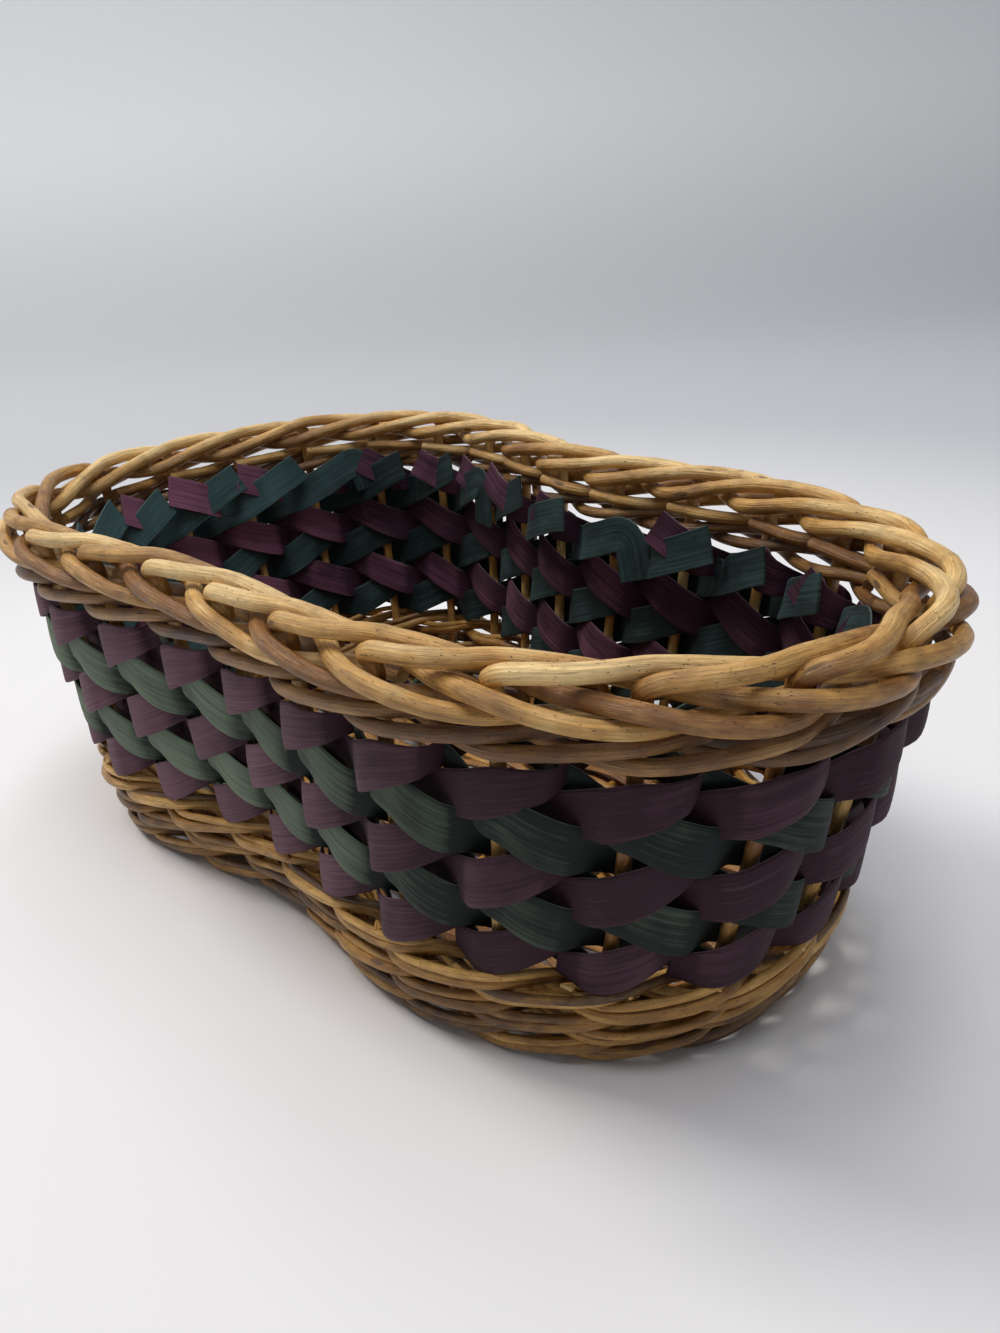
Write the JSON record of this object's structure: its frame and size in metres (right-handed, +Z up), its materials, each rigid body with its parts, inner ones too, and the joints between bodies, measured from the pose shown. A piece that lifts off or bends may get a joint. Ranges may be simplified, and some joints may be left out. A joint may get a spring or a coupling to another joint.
{
  "type": "woven basket",
  "caption": "Open waisted basket of dyed wood splints plaited on willow stakes, with a waled willow foot and a rolled willow border, for holding small things.",
  "frame": {"origin": "on the surface that the basket stands on, under the middle of its box", "axes": "+Z up, +X along the length towards the smaller lobe, +Y across; the side with the deeper waist at the foot faces -Y"},
  "size_m": [0.3742, 0.2322, 0.1388],
  "materials": {
    "willow_stake": "peeled and dried willow rod, a slight satin, with knots and specks",
    "willow_weaver": "thin willow rod, slight satin",
    "dark_weaver": "browner willow rod, matt to satin",
    "base_stick": "thick willow stick",
    "base_weave": "thin woven willow rod",
    "purple_splint": "thin wood splint, dyed a dusty purple, matt, with a fine lengthwise grain",
    "green_splint": "thin wood splint, dyed a grey green, matt, with a fine lengthwise grain"
  },
  "bodies": {
    "root": {"base_panel": "base_weave", "base_sticks": "base_stick", "foot_wale_1_rod_01": "dark_weaver", "foot_wale_1_rod_02": "dark_weaver", "foot_wale_1_rod_03": "dark_weaver", "foot_wale_2_rod_01": "dark_weaver", "foot_wale_2_rod_02": "dark_weaver", "foot_wale_2_rod_03": "dark_weaver", "foot_wale_3_rod_01": "dark_weaver", "foot_wale_3_rod_02": "dark_weaver", "foot_wale_3_rod_03": "dark_weaver", "splint_trio_green_01": "green_splint", "splint_trio_green_02": "green_splint", "splint_trio_green_03": "green_splint", "splint_trio_green_04": "green_splint", "splint_trio_green_05": "green_splint", "splint_trio_green_06": "green_splint", "splint_trio_green_07": "green_splint", "splint_trio_green_08": "green_splint", "splint_trio_green_09": "green_splint", "splint_trio_purple_01": "purple_splint", "splint_trio_purple_02": "purple_splint", "splint_trio_purple_03": "purple_splint", "splint_trio_purple_04": "purple_splint", "splint_trio_purple_05": "purple_splint", "splint_trio_purple_06": "purple_splint", "splint_trio_purple_07": "purple_splint", "splint_trio_purple_08": "purple_splint", "splint_trio_purple_09": "purple_splint", "stake_01": "willow_stake", "stake_02": "willow_stake", "stake_03": "willow_stake", "stake_04": "willow_stake", "stake_05": "willow_stake", "stake_06": "willow_stake", "stake_07": "willow_stake", "stake_08": "willow_stake", "stake_09": "willow_stake", "stake_10": "willow_stake", "stake_11": "willow_stake", "stake_12": "willow_stake", "stake_13": "willow_stake", "stake_14": "willow_stake", "stake_15": "willow_stake", "stake_16": "willow_stake", "stake_17": "willow_stake", "stake_18": "willow_stake", "stake_19": "willow_stake", "stake_20": "willow_stake", "stake_21": "willow_stake", "stake_22": "willow_stake", "stake_23": "willow_stake", "stake_24": "willow_stake", "stake_25": "willow_stake", "stake_26": "willow_stake", "stake_27": "willow_stake", "upper_wale_rod_01": "willow_weaver", "upper_wale_rod_02": "willow_weaver", "upper_wale_rod_03": "willow_weaver"}
  },
  "joints": []
}
